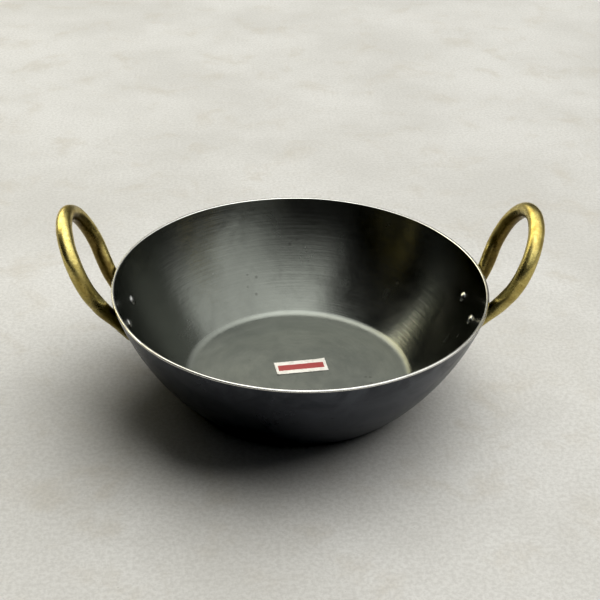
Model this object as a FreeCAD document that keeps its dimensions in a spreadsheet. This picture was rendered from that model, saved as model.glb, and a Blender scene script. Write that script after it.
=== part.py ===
"""A kadai: a round iron pan with a flat base, and two brass loop handles riveted to its wall.

The origin is the centre of the underside of the base and +Z is up. The handles stand on +X (right)
and -X (left), and -Y is the front. Lengths are in millimetres and angles in degrees.
"""
import FreeCAD, Part
import math
import os
import Sketcher

# Driving dimensions: name, value, meaning
SIZES = [
    ("rim_diameter", 280.0, "outside diameter of the bowl at its rim"),
    ("bowl_height", 86.0, "height of the rim above the floor"),
    ("base_diameter", 166.0, "diameter of the flat part of the base"),
    ("sheet_thickness", 2.5, "thickness of the iron sheet"),
    ("knuckle_radius", 9.0, "inside radius of the bend between base and wall"),
    ("wall_radius", 204.0, "radius of the wall's outward curve from knuckle to rim, on its outside"),
    ("rim_rounding", 0.5, "rounding of both edges of the ground rim"),
    ("bar_diameter", 11.5, "diameter of the round handle bar"),
    ("loop_radius", 36.5, "radius of the handle loop at the middle of the bar"),
    ("loop_rise", 21.5, "height of the loop's middle above the rim, along the loop's plane"),
    ("handle_tilt", 23.0, "outward angle of the loop's plane from upright"),
    ("rim_gap", 0.5, "gap by which the bar would clear the rim if it ran straight down"),
    ("leg_run", 9.0, "length of full round leg below the loop"),
    ("rivet_spacing", 33.0, "distance between the two rivets of a handle, on the outside of the wall"),
    ("rivet_drop", 26.0, "depth of the rivets below the rim, on the outside of the wall"),
    ("foot_width", 12.0, "width of a foot at its rivet"),
    ("foot_thickness", 8.0, "height of a foot above the wall at its rivet"),
    ("tip_width", 9.5, "width of a foot at its end"),
    ("tip_thickness", 7.0, "height of a foot above the wall at its end"),
    ("tip_reach", 15.5, "length of a foot beyond its rivet"),
    ("foot_sink", 1.5, "extra stock on the back of a foot, which the wall's shape then takes away"),
    ("shank_diameter", 5.0, "diameter of a rivet's shank"),
    ("head_diameter", 8.5, "diameter of a rivet's domed head inside the bowl"),
    ("head_height", 2.0, "height of a rivet's domed head"),
    ("tail_diameter", 7.0, "diameter of a rivet's hammered end on the foot"),
    ("tail_height", 1.2, "height of a rivet's hammered end"),
    ("tail_recess", 1.0, "depth of the flat on the foot under a rivet's hammered end"),
    ("hole_clearance", 0.1, "gap round a rivet's shank and end"),
    ("seat_clearance", 0.1, "gap between faces that rest on each other"),
]

# Dimensions that follow from the driving ones: name, formula
DERIVED = [
    ("rim_radius", "Sizes.rim_diameter / 2"),
    ("base_radius", "Sizes.base_diameter / 2"),
    ("knuckle_outside", "Sizes.knuckle_radius + Sizes.sheet_thickness"),
    # The wall is one arc, tangent to the knuckle, that ends at the rim. From the knuckle's middle:
    # how far the rim lies, and how far the arc's middle lies along that line and beside it
    ("rim_step_out", "Layout.rim_radius - Layout.base_radius"),
    ("rim_step_up", "Sizes.bowl_height - Layout.knuckle_outside"),
    ("rim_step", "sqrt(Layout.rim_step_out ^ 2 + Layout.rim_step_up ^ 2)"),
    ("wall_along", "(Layout.knuckle_outside ^ 2 - 2 * Sizes.wall_radius * Layout.knuckle_outside"
                   " + Layout.rim_step ^ 2) / 2 / Layout.rim_step"),
    ("wall_aside", "sqrt((Sizes.wall_radius - Layout.knuckle_outside) ^ 2 - Layout.wall_along ^ 2)"),
    ("wall_centre_out", "Layout.base_radius + (Layout.wall_along * Layout.rim_step_out"
                        " - Layout.wall_aside * Layout.rim_step_up) / Layout.rim_step"),
    ("wall_centre_up", "Layout.knuckle_outside + (Layout.wall_along * Layout.rim_step_up"
                       " + Layout.wall_aside * Layout.rim_step_out) / Layout.rim_step"),
    # Where a rivet's middle line crosses the outside of the wall, and how it lies there
    ("rivet_up", "Sizes.bowl_height - Sizes.rivet_drop"),
    ("rivet_lean", "asin((Layout.wall_centre_up - Layout.rivet_up) / Sizes.wall_radius)"),
    ("rivet_out", "Layout.wall_centre_out + Sizes.wall_radius * cos(Layout.rivet_lean)"),
    ("rivet_turn", "asin(Sizes.rivet_spacing / 2 / Layout.rivet_out)"),
    # The loop's plane, level with the rim, and the top of the loop's middle line in that plane
    ("loop_out", "Layout.rim_radius + (Sizes.bar_diameter / 2 + Sizes.rim_gap) / cos(Sizes.handle_tilt)"),
    ("crown_up", "Sizes.loop_rise + Sizes.loop_radius"),
    # The middle of a foot at its rivet: out from the bowl's axis, and then in the loop's plane
    ("foot_middle", "(Sizes.foot_thickness - Sizes.foot_sink) / 2"),
    ("foot_out", "Layout.rivet_out + Layout.foot_middle * cos(Layout.rivet_lean)"),
    ("foot_across", "Layout.foot_out * sin(Layout.rivet_turn)"),
    ("foot_up", "(Layout.foot_out * cos(Layout.rivet_turn) - Layout.loop_out) * sin(Sizes.handle_tilt)"
                " - (Sizes.rivet_drop + Layout.foot_middle * sin(Layout.rivet_lean))"
                " * cos(Sizes.handle_tilt)"),
    # Each leg is tangent to the loop and runs to its foot
    ("foot_below", "Sizes.loop_rise - Layout.foot_up"),
    ("leg_slant", "asin(Sizes.loop_radius / sqrt(Layout.foot_across ^ 2 + Layout.foot_below ^ 2))"
                  " - atan(Layout.foot_across / Layout.foot_below)"),
    ("leg_across", "Sizes.loop_radius * cos(Layout.leg_slant)"),
    ("leg_up", "Sizes.loop_rise - Sizes.loop_radius * sin(Layout.leg_slant)"),
    # Along a rivet, from the outside of the wall: under its head, and under its hammered end
    ("head_seat", "Sizes.sheet_thickness + Sizes.seat_clearance + Sizes.head_diameter ^ 2 / 4"
                  " / Sizes.rim_diameter"),
    ("tail_seat", "Sizes.foot_thickness - Sizes.tail_recess"),
]

SPREAD = 20.0  # half length of a cut that only has to pass right through

# A sketch counts a line's points from one up, and its own axes from one down
START, END, CENTRE = range(1, 4)
LEVEL_AXIS, VERTICAL_AXIS = -START, -END
ORIGIN = (LEVEL_AXIS, START)
UPWARD = FreeCAD.Vector(0, 0, 1)

doc = FreeCAD.newDocument("Kadai")
sheet = doc.addObject("Spreadsheet::Sheet", "Sizes")
layout = doc.addObject("App::VarSet", "Layout")


def vector(x, y):
    return FreeCAD.Vector(x, y, 0)


def fill_sheet():
    for row, (name, value, meaning) in enumerate(SIZES, start=1):
        sheet.set(f"A{row}", name)
        sheet.set(f"B{row}", str(value))
        sheet.setAlias(f"B{row}", name)
        sheet.set(f"C{row}", meaning)
    doc.recompute()


def fill_layout():
    for name, formula in DERIVED:
        layout.addProperty("App::PropertyFloat", name, "Layout")
        layout.setExpression(name, formula)
    doc.recompute()


def new_body(name):
    body = doc.addObject("PartDesign::Body", name)
    body.Label = name
    return body


def origin_feature(body, role):
    return next(feature for feature in body.Origin.OriginFeatures if feature.Role == role)


def new_sketch(body, name, plane, offset=None):
    """A sketch on one of the body's own planes, moved from there by an expression."""
    sketch = body.newObject("Sketcher::SketchObject", name)
    sketch.AttachmentSupport = (origin_feature(body, plane), [""])
    sketch.MapMode = "FlatFace"
    if offset:
        sketch.setExpression("AttachmentOffset", offset)
    return sketch


def constrain(sketch, kind, *where):
    return sketch.addConstraint(Sketcher.Constraint(kind, *where))


def size(sketch, name, formula, kind, *where):
    """A dimension of a sketch that follows a formula. The last item of where is its first value."""
    index = constrain(sketch, kind, *where)
    sketch.renameConstraint(index, name)
    sketch.setExpression(f"Constraints.{name}", formula)


def line(sketch, start, end):
    return sketch.addGeometry(Part.LineSegment(vector(*start), vector(*end)))


def arc(sketch, centre, radius, start, end):
    """An arc that runs counterclockwise between two angles in radians."""
    circle = Part.Circle(vector(*centre), UPWARD, radius)
    return sketch.addGeometry(Part.ArcOfCircle(circle, start, end))


def circle_sketch(body, name, offset, diameter):
    sketch = new_sketch(body, name, "YZ_Plane", offset)
    circle = sketch.addGeometry(Part.Circle(vector(0, 0), UPWARD, sheet.shank_diameter))
    constrain(sketch, "Coincident", circle, CENTRE, *ORIGIN)
    size(sketch, "diameter", diameter, "Diameter", circle, 2 * sheet.shank_diameter)
    return sketch


def oval_sketch(body, name, offset, width, thickness):
    """An oval that stands on the wall: its top is one thickness up, its bottom sinks in."""
    sketch = new_sketch(body, name, "YZ_Plane", offset)
    across, above, sink = getattr(sheet, width), getattr(sheet, thickness), sheet.foot_sink
    middle = (above - sink) / 2
    oval = sketch.addGeometry(Part.Ellipse(vector(0, middle), across / 2, (above + sink) / 2))
    sketch.exposeInternalGeometry(oval)
    long_axis, short_axis = oval + 1, oval + 2
    constrain(sketch, "Horizontal", long_axis)
    constrain(sketch, "PointOnObject", oval, CENTRE, VERTICAL_AXIS)
    size(sketch, "width", f"Sizes.{width}", "Distance", long_axis, across)
    size(sketch, "depth", f"Sizes.{thickness} + Sizes.foot_sink", "Distance", short_axis, above + sink)
    size(sketch, "middle", f"(Sizes.{thickness} - Sizes.foot_sink) / 2", "DistanceY",
         *ORIGIN, oval, CENTRE, middle)
    return sketch


def place(x, y, z, yaw="0", pitch="0", roll="0"):
    return f"placement(vector({x}; {y}; {z}); rotation({yaw}; {pitch}; {roll}))"


def rivet_seat(row, height="0"):
    """The wall's tangent plane at a right rivet, seen from the body's YZ plane and moved outwards.

    Its x runs round the bowl, its y up the wall and its z out along the rivet.
    """
    turn = f"{row} * Layout.rivet_turn"
    on_wall = place(f"Layout.rivet_out * sin({turn})", "Layout.rivet_up",
                    f"Layout.rivet_out * cos({turn})", "0", turn, "Layout.rivet_lean")
    return f"{on_wall} * {place('0', '0', height)}"


def add_bowl():
    body = new_body("bowl")
    profile = new_sketch(body, "bowl_profile", "XZ_Plane")
    rim, height, flat = layout.rim_radius, sheet.bowl_height, layout.base_radius
    gauge, inside, outside = sheet.sheet_thickness, sheet.knuckle_radius, layout.knuckle_outside
    wall, rounding = sheet.wall_radius, sheet.rim_rounding
    wall_centre = (layout.wall_centre_out, layout.wall_centre_up)
    bend = math.atan2(outside - wall_centre[1], flat - wall_centre[0])
    rim_turn = math.atan2(height - wall_centre[1], rim - wall_centre[0])
    down = -math.pi / 2
    underside = line(profile, (0, 0), (flat, 0))
    knuckle_out = arc(profile, (flat, outside), outside, down, bend)
    wall_out = arc(profile, wall_centre, wall, bend, rim_turn)
    round_out = arc(profile, (rim - rounding, height - rounding), rounding, rim_turn, math.pi / 2)
    edge = line(profile, (rim - rounding, height), (rim - gauge + rounding, height))
    round_in = arc(profile, (rim - gauge + rounding, height - rounding), rounding,
                   math.pi / 2, math.pi + rim_turn)
    wall_in = arc(profile, wall_centre, wall - gauge, bend, rim_turn)
    knuckle_in = arc(profile, (flat, outside), inside, down, bend)
    floor = line(profile, (flat, gauge), (0, gauge))
    axis = line(profile, (0, gauge), (0, 0))
    rim_line = line(profile, wall_centre, (rim, height))
    profile.toggleConstruction(rim_line)
    constrain(profile, "Coincident", underside, START, *ORIGIN)
    for level in (underside, edge, floor):
        constrain(profile, "Horizontal", level)
    constrain(profile, "Vertical", axis)
    constrain(profile, "Tangent", underside, END, knuckle_out, START)
    constrain(profile, "Tangent", knuckle_out, END, wall_out, START)
    constrain(profile, "Tangent", wall_out, END, round_out, START)
    constrain(profile, "Tangent", round_out, END, edge, START)
    constrain(profile, "Tangent", edge, END, round_in, START)
    constrain(profile, "Tangent", round_in, END, wall_in, END)
    constrain(profile, "Tangent", wall_in, START, knuckle_in, END)
    constrain(profile, "Tangent", knuckle_in, START, floor, START)
    constrain(profile, "Coincident", floor, END, axis, START)
    constrain(profile, "Coincident", axis, END, underside, START)
    constrain(profile, "Coincident", wall_in, CENTRE, wall_out, CENTRE)
    constrain(profile, "Coincident", knuckle_in, CENTRE, knuckle_out, CENTRE)
    constrain(profile, "Coincident", rim_line, START, wall_out, CENTRE)
    constrain(profile, "PointOnObject", rim_line, END, wall_out)
    size(profile, "base", "Layout.base_radius", "DistanceX", underside, START, underside, END, flat)
    size(profile, "gauge", "Sizes.sheet_thickness", "DistanceY", underside, END, floor, START, gauge)
    size(profile, "knuckle", "Sizes.knuckle_radius", "Radius", knuckle_in, inside)
    size(profile, "rim_out", "Layout.rim_radius", "DistanceX", *ORIGIN, rim_line, END, rim)
    size(profile, "rim_up", "Sizes.bowl_height", "DistanceY", *ORIGIN, rim_line, END, height)
    size(profile, "edge_up", "Sizes.bowl_height", "DistanceY", *ORIGIN, edge, START, height)
    size(profile, "round_out", "Sizes.rim_rounding", "Radius", round_out, rounding)
    size(profile, "round_in", "Sizes.rim_rounding", "Radius", round_in, rounding)
    size(profile, "wall", "Sizes.wall_radius", "Radius", wall_out, wall)
    shell = body.newObject("PartDesign::Revolution", "bowl_shell")
    shell.Profile = profile
    shell.ReferenceAxis = (profile, ["V_Axis"])
    shell.Angle = 360
    doc.recompute()
    holes = [rivet_hole(body, "rivet_hole_front", -1), rivet_hole(body, "rivet_hole_rear", 1)]
    pairs = body.newObject("PartDesign::PolarPattern", "rivet_holes")
    pairs.Originals = holes
    pairs.Axis = (origin_feature(body, "Z_Axis"), [""])
    pairs.Angle = 360
    pairs.Occurrences = 2
    body.Tip = pairs
    return body


def rivet_hole(body, name, row):
    outline = circle_sketch(body, f"{name}_outline", rivet_seat(row),
                            "Sizes.shank_diameter + 2 * Sizes.hole_clearance")
    hole = body.newObject("PartDesign::Pocket", name)
    hole.Profile = outline
    hole.Midplane = True
    hole.Length = 2 * SPREAD
    doc.recompute()
    return hole


def add_loop(body):
    """The round part of a handle: the bar's section at the crown, swung about the loop's middle."""
    crown = new_sketch(body, "crown_section", "XZ_Plane",
                       place("Layout.loop_out", "Sizes.bowl_height", "0", yaw="-Sizes.handle_tilt"))
    bar = crown.addGeometry(Part.Circle(vector(0, layout.crown_up), UPWARD, sheet.bar_diameter / 2))
    axis = line(crown, (0, sheet.loop_rise), (sheet.bar_diameter, sheet.loop_rise))
    crown.toggleConstruction(axis)
    constrain(crown, "PointOnObject", bar, CENTRE, VERTICAL_AXIS)
    constrain(crown, "PointOnObject", axis, START, VERTICAL_AXIS)
    constrain(crown, "Horizontal", axis)
    size(crown, "bar_size", "Sizes.bar_diameter", "Diameter", bar, sheet.bar_diameter)
    size(crown, "axis_length", "Sizes.bar_diameter", "DistanceX", axis, START, axis, END, sheet.bar_diameter)
    size(crown, "crown", "Layout.crown_up", "DistanceY", *ORIGIN, bar, CENTRE, layout.crown_up)
    size(crown, "radius", "Sizes.loop_radius", "DistanceY", axis, START, bar, CENTRE, sheet.loop_radius)
    loop = body.newObject("PartDesign::Revolution", "loop")
    loop.Profile = crown
    loop.ReferenceAxis = (crown, ["Axis0"])
    loop.Midplane = True
    loop.setExpression("Angle", "180 + 2 * Layout.leg_slant")
    doc.recompute()


def add_foot(body):
    """The rear leg and foot: the round bar closes in, flattens and thins to a tongue on the wall."""
    loop_plane = place("0", "Sizes.bowl_height", "Layout.loop_out", roll="Sizes.handle_tilt")

    def across_leg(run):
        return place(f"Layout.leg_across - {run} * sin(Layout.leg_slant)",
                     f"Layout.leg_up - {run} * cos(Layout.leg_slant)", "0",
                     yaw="180 - Layout.leg_slant", roll="90")

    def across_foot(reach):
        return place(f"-{reach} * sin(Layout.leg_slant)", f"-{reach} * cos(Layout.leg_slant)", "0",
                     yaw="180 - Layout.leg_slant", roll="90")

    leg_top = circle_sketch(body, "leg_top", f"{loop_plane} * {across_leg('0')}",
                            "Sizes.bar_diameter")
    leg_end = circle_sketch(body, "leg_end", f"{loop_plane} * {across_leg('Sizes.leg_run')}",
                            "Sizes.bar_diameter")
    foot_middle = oval_sketch(body, "foot_middle", f"{rivet_seat(1)} * {across_foot('0')}",
                              "foot_width", "foot_thickness")
    foot_tip = oval_sketch(body, "foot_tip", f"{rivet_seat(1)} * {across_foot('Sizes.tip_reach')}",
                           "tip_width", "tip_thickness")
    foot = body.newObject("PartDesign::AdditiveLoft", "foot")
    foot.Profile = leg_top
    foot.Sections = [leg_end, foot_middle, foot_tip]
    doc.recompute()
    flat_outline = circle_sketch(body, "tail_flat_outline", rivet_seat(1, "Layout.tail_seat"),
                                 "Sizes.tail_diameter + 2 * Sizes.hole_clearance")
    flat = body.newObject("PartDesign::Pocket", "tail_flat")
    flat.Profile = flat_outline
    flat.Reversed = True
    flat.Length = SPREAD
    doc.recompute()
    return [foot, flat, rivet_hole(body, "foot_hole", 1)]


def add_seat(body):
    """Takes away what lies inside the bowl's outer face, so that both feet fit the wall."""
    profile = new_sketch(body, "wall_outline", "XZ_Plane")
    height, radius = sheet.bowl_height, sheet.wall_radius + sheet.seat_clearance
    wall_centre = (layout.wall_centre_out, layout.wall_centre_up)
    low = -math.asin(wall_centre[1] / radius)
    high = -math.asin((wall_centre[1] - height) / radius)
    wall = arc(profile, wall_centre, radius, low, high)
    top = line(profile, (layout.rim_radius, height), (0, height))
    axis = line(profile, (0, height), (0, 0))
    bottom = line(profile, (0, 0), (layout.base_radius, 0))
    constrain(profile, "Coincident", wall, END, top, START)
    constrain(profile, "Coincident", top, END, axis, START)
    constrain(profile, "Coincident", axis, END, bottom, START)
    constrain(profile, "Coincident", bottom, END, wall, START)
    constrain(profile, "Coincident", axis, END, *ORIGIN)
    constrain(profile, "Horizontal", top)
    constrain(profile, "Vertical", axis)
    constrain(profile, "Horizontal", bottom)
    size(profile, "height", "Sizes.bowl_height", "DistanceY", axis, END, axis, START, height)
    size(profile, "radius", "Sizes.wall_radius + Sizes.seat_clearance", "Radius", wall, radius)
    size(profile, "centre_out", "Layout.wall_centre_out", "DistanceX",
         *ORIGIN, wall, CENTRE, wall_centre[0])
    size(profile, "centre_up", "Layout.wall_centre_up", "DistanceY",
         *ORIGIN, wall, CENTRE, wall_centre[1])
    before = body.Shape.Volume
    seat = body.newObject("PartDesign::Groove", "wall_seat")
    seat.Profile = profile
    seat.ReferenceAxis = (profile, ["V_Axis"])
    seat.Angle = 360
    doc.recompute()
    print(f"{body.Label}: the wall's shape takes {before - body.Shape.Volume:.1f} mm3 off the feet")


def add_handle(name, turn):
    body = new_body(name)
    add_loop(body)
    rear_foot = add_foot(body)
    front_foot = body.newObject("PartDesign::Mirrored", "front_foot")
    front_foot.Originals = rear_foot
    front_foot.MirrorPlane = (origin_feature(body, "XZ_Plane"), [""])
    body.Tip = front_foot
    doc.recompute()
    add_seat(body)
    body.setExpression("Placement", place("0", "0", "0", yaw=str(turn)))
    return body


def add_rivet(name, turn):
    """A rivet along its own X axis: domed head inside the bowl, hammered end on the handle's foot."""
    body = new_body(name)
    profile = new_sketch(body, "rivet_profile", "XY_Plane")
    shank, head, tail = sheet.shank_diameter / 2, sheet.head_diameter / 2, sheet.tail_diameter / 2
    under_head, under_tail = -layout.head_seat, layout.tail_seat + sheet.seat_clearance
    head_top, tail_top = under_head - sheet.head_height, under_tail + sheet.tail_height
    head_dome = (head ** 2 + sheet.head_height ** 2) / (2 * sheet.head_height)
    tail_dome = (tail ** 2 + sheet.tail_height ** 2) / (2 * sheet.tail_height)
    dome_in = arc(profile, (head_top + head_dome, 0), head_dome,
                  math.pi - math.asin(head / head_dome), math.pi)
    ledge_in = line(profile, (under_head, head), (under_head, shank))
    side = line(profile, (under_head, shank), (under_tail, shank))
    ledge_out = line(profile, (under_tail, shank), (under_tail, tail))
    dome_out = arc(profile, (tail_top - tail_dome, 0), tail_dome, 0, math.asin(tail / tail_dome))
    axis = line(profile, (tail_top, 0), (head_top, 0))
    constrain(profile, "Coincident", dome_in, START, ledge_in, START)
    constrain(profile, "Coincident", ledge_in, END, side, START)
    constrain(profile, "Coincident", side, END, ledge_out, START)
    constrain(profile, "Coincident", ledge_out, END, dome_out, END)
    constrain(profile, "Coincident", dome_out, START, axis, START)
    constrain(profile, "Coincident", axis, END, dome_in, END)
    for point in ((dome_in, CENTRE), (dome_out, CENTRE), (axis, START), (axis, END)):
        constrain(profile, "PointOnObject", *point, LEVEL_AXIS)
    for upright in (ledge_in, ledge_out):
        constrain(profile, "Vertical", upright)
    constrain(profile, "Horizontal", side)
    size(profile, "shank", "Sizes.shank_diameter / 2", "DistanceY", *ORIGIN, side, START, shank)
    size(profile, "head", "Sizes.head_diameter / 2", "DistanceY", *ORIGIN, ledge_in, START, head)
    size(profile, "tail", "Sizes.tail_diameter / 2", "DistanceY", *ORIGIN, ledge_out, END, tail)
    size(profile, "under_head", "Layout.head_seat", "DistanceX", ledge_in, END, *ORIGIN, -under_head)
    size(profile, "under_tail", "Layout.tail_seat + Sizes.seat_clearance", "DistanceX",
         *ORIGIN, ledge_out, START, under_tail)
    size(profile, "head_height", "Sizes.head_height", "DistanceX", axis, END, ledge_in, START,
         sheet.head_height)
    size(profile, "tail_height", "Sizes.tail_height", "DistanceX", ledge_out, END, axis, START,
         sheet.tail_height)
    rivet = body.newObject("PartDesign::Revolution", "rivet")
    rivet.Profile = profile
    rivet.ReferenceAxis = (profile, ["H_Axis"])
    rivet.Angle = 360
    body.setExpression("Placement", place(f"Layout.rivet_out * cos({turn})",
                                          f"Layout.rivet_out * sin({turn})",
                                          "Layout.rivet_up", turn, "Layout.rivet_lean"))
    doc.recompute()
    return body


fill_sheet()
fill_layout()
pieces = [add_bowl()]
for name, turn in (("handle_right", 0), ("handle_left", 180)):
    pieces.append(add_handle(name, turn))
for name, turn in (("rivet_right_front", "-Layout.rivet_turn"),
                   ("rivet_right_rear", "Layout.rivet_turn"),
                   ("rivet_left_front", "180 + Layout.rivet_turn"),
                   ("rivet_left_rear", "180 - Layout.rivet_turn")):
    pieces.append(add_rivet(name, turn))
doc.recompute()

for item in doc.Objects:
    if "Invalid" in item.State or "Error" in item.State:
        raise RuntimeError(f"{item.Label} did not build: {item.State}")
for piece in pieces:
    if piece.Shape.isNull() or not piece.Shape.isValid():
        raise RuntimeError(f"{piece.Label} has no valid shape")

os.makedirs("parts", exist_ok=True)
for piece in pieces:
    piece.Shape.exportStep(f"parts/{piece.Label}.step")
    print(f"{piece.Label}: {len(piece.Shape.Solids)} solid, {piece.Shape.Volume:.0f} mm3")
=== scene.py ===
"""The looks of the kadai: a blackened iron pan with aged brass loop handles, on a pale floor.

Lengths are in metres in the part's own frame: the origin is the middle of the underside, +Z is up,
the handles stand on +X (right) and -X (left), and the front faces -Y.
"""
import math

import bmesh
import bpy
from mathutils import Matrix, Vector, noise


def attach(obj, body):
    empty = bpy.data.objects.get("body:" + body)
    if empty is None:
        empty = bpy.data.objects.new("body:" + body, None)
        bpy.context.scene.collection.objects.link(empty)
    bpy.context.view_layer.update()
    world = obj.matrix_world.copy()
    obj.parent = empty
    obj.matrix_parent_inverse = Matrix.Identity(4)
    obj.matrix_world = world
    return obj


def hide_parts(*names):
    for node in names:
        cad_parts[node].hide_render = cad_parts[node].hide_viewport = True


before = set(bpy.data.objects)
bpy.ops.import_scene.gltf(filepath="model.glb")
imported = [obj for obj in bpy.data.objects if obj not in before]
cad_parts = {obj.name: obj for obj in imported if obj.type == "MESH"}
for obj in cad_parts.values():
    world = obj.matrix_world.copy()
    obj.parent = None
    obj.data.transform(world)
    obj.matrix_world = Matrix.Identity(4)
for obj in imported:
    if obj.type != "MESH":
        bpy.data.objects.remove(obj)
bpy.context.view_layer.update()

MM = 0.001

# The pressed bowl
RIM_RADIUS = 140 * MM
RIM_HEIGHT = 86 * MM
BASE_RADIUS = 83 * MM
SHEET = 2.5 * MM
KNUCKLE_RADIUS = 9 * MM
WALL_RADIUS = 204 * MM
RIM_ROUNDING = 1.1 * MM

# How far the pressed sheet, the base and the rim's edge stray from true
SHEET_WAVE, BASE_WAVE = 0.2 * MM, 0.06 * MM
RIM_LONG_WAVE, RIM_SHORT_WAVE = 0.15 * MM, 0.04 * MM
RIM_WAVE_DEPTH = 4 * MM

# Steps round the bowl and along its section; the first ones of the rim's inner edge stay black
BOWL_AROUND = 360
BASE_STEPS, KNUCKLE_STEPS, WALL_STEPS, UNDERSIDE_STEPS = 30, 10, 60, 20
RIM_EDGE_STEPS, RIM_TOP_STEPS, BLACK_EDGE_STEPS = 10, 3, 3
RIM_POINTS = 2 * RIM_EDGE_STEPS + RIM_TOP_STEPS

# The brass handles
BAR_RADIUS = 5.75 * MM
LOOP_RADIUS = 36.5 * MM
LOOP_RISE = 21.5 * MM
HANDLE_TILT = math.radians(23)
RIM_GAP = 0.5 * MM
LEG_RUN = 9 * MM
FOOT_SINK = 1.5 * MM
FOOT_WIDTH, FOOT_THICKNESS = 12 * MM, 8 * MM
TIP_WIDTH, TIP_THICKNESS = 9.5 * MM, 7 * MM
TIP_REACH = 15.5 * MM
TIP_ROUNDING = 1.5 * MM
TIP_EASE = 0.15
HANDLE_AROUND = 72
LOOP_STEPS, LEG_STEPS, FOOT_STEPS, TIP_STEPS = 56, 6, 44, 24

# The casting's broad and fine unevenness
CAST_BROAD, CAST_BROAD_LENGTH = 0.16 * MM, 11 * MM
CAST_FINE, CAST_FINE_LENGTH = 0.05 * MM, 3.5 * MM

# The rivets
RIVET_SPACING = 33 * MM
RIVET_DROP = 26 * MM
SHANK_RADIUS = 2.5 * MM
HEAD_RADIUS, HEAD_HEIGHT, HEAD_STEPS = 4.25 * MM, 2 * MM, 12
TAIL_RADIUS, TAIL_HEIGHT, TAIL_STEPS = 3.5 * MM, 1.2 * MM, 10
TAIL_SEAT = 7 * MM
CLEARANCE = 0.1 * MM
HAMMERING, HAMMERING_LENGTH = 0.14 * MM, 2.6 * MM
RIVET_AROUND = 40

# The blank paper label on the inside of the base
LABEL_WIDTH, LABEL_DEPTH, LABEL_PAPER = 41 * MM, 16.5 * MM, 0.12 * MM
LABEL_PLACE = Vector((2.7 * MM, 9.0 * MM))
LABEL_TURN = math.radians(7.9)
LABEL_COLUMNS, LABEL_ROWS = 48, 20
LABEL_GAP = 0.05 * MM
LABEL_CREASE, LABEL_CREASE_LENGTH = 0.12 * MM, 5 * MM
LABEL_RAGGED_ENDS, LABEL_RAGGED_SIDES = 0.25 * MM, 0.2 * MM
LABEL_CORNER_LIFT, LABEL_FAR_CORNER_LIFT = 0.5 * MM, 0.3 * MM
BAND_HALF_WIDTH, BAND_HALF_DEPTH, BAND_EDGE = 18.0 * MM, 3.4 * MM, 0.2 * MM

# Bare metal reaches this many millimetres below the rim, and oil this high above the floor
BARE_OUTSIDE, BARE_NOWHERE = 1.2, -3.0
OILED_INSIDE, OILED_NOWHERE = SHEET + 0.3 * MM, -9 * MM
OIL_EDGE = 3 * MM

# The floor lies just below the pan
FLOOR_REACH = 6.0
FLOOR_GAP = 0.2 * MM

# What the pan mirrors, in degrees round it from the right: the dark and the dim side, the window,
# the side towards which the window keeps its full strength and the warm lamp
DARK_TURN, DIM_TURN, WINDOW_TURN, FRONT_TURN, WARM_TURN = -160, 88, -16, -74, 131
WARM_STRENGTH, SURROUND_STRENGTH = 2.9, 0.8

# The key light
KEY_TURN, KEY_RISE, KEY_SPREAD = math.radians(44), math.radians(54), math.radians(85)
KEY_DISTANCE, KEY_STRENGTH = 3.0, 5.0

# The photograph's contrast
VIEW_GAMMA, VIEW_BLACK = 0.8, 0.006

# The photograph's camera; its lens and sensor are in millimetres
LENS, SENSOR = 71.92, 36.0
CAMERA_TURN, CAMERA_RISE, CAMERA_ROLL = math.radians(3.7), math.radians(31.45), math.radians(1.39)
CAMERA_AIM, CAMERA_DISTANCE = Vector((0, 0, 69.55 * MM)), 900 * MM


def wall_middle():
    """Middle of the wall's arc in the bowl's section, as distance from the axis and height."""
    knuckle = KNUCKLE_RADIUS + SHEET
    step = Vector((RIM_RADIUS - BASE_RADIUS, RIM_HEIGHT - knuckle))
    along = (knuckle ** 2 - 2 * WALL_RADIUS * knuckle + step.length_squared) / (2 * step.length)
    beside = math.sqrt((WALL_RADIUS - knuckle) ** 2 - along ** 2)
    aim = step.normalized()
    return Vector((BASE_RADIUS, knuckle)) + aim * along + Vector((-aim.y, aim.x)) * beside


WALL_MIDDLE = wall_middle()

# The right handle's plane leans out from beside the rim, and the middle of its loop lies in it
HANDLE_BASE = Vector((RIM_RADIUS + (BAR_RADIUS + RIM_GAP) / math.cos(HANDLE_TILT), 0, RIM_HEIGHT))
HANDLE_UP = Vector((math.sin(HANDLE_TILT), 0, math.cos(HANDLE_TILT)))
LOOP_MIDDLE = HANDLE_BASE + HANDLE_UP * LOOP_RISE

# Where the right rear rivet's middle line leaves the outside of the wall
RIVET_UP = RIM_HEIGHT - RIVET_DROP
RIVET_LEAN = math.asin((WALL_MIDDLE.y - RIVET_UP) / WALL_RADIUS)
RIVET_OUT = WALL_MIDDLE.x + WALL_RADIUS * math.cos(RIVET_LEAN)
RIVET_TURN = math.asin(RIVET_SPACING / 2 / RIVET_OUT)


def smooth(low, high, value):
    """0 below low, 1 above high, and an even ease between them."""
    share = min(1.0, max(0.0, (value - low) / (high - low)))
    return share * share * (3 - 2 * share)


def between(start, end, share):
    """A number that lies a share of the way from start to end."""
    return start + (end - start) * share


def piece_from(name, vertices, faces, finishes, finish_of_face=None):
    """A smooth-shaded mesh piece with outward normals that rides on the part."""
    mesh = bpy.data.meshes.new(name)
    mesh.from_pydata(vertices, [], faces)
    for finish in finishes:
        mesh.materials.append(finish)
    if finish_of_face:
        mesh.polygons.foreach_set("material_index", finish_of_face)
    work = bmesh.new()
    work.from_mesh(mesh)
    bmesh.ops.recalc_face_normals(work, faces=work.faces)
    for face in work.faces:
        face.smooth = True
    work.to_mesh(mesh)
    work.free()
    piece = bpy.data.objects.new(name, mesh)
    bpy.context.scene.collection.objects.link(piece)
    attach(piece, "root")
    return piece


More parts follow.
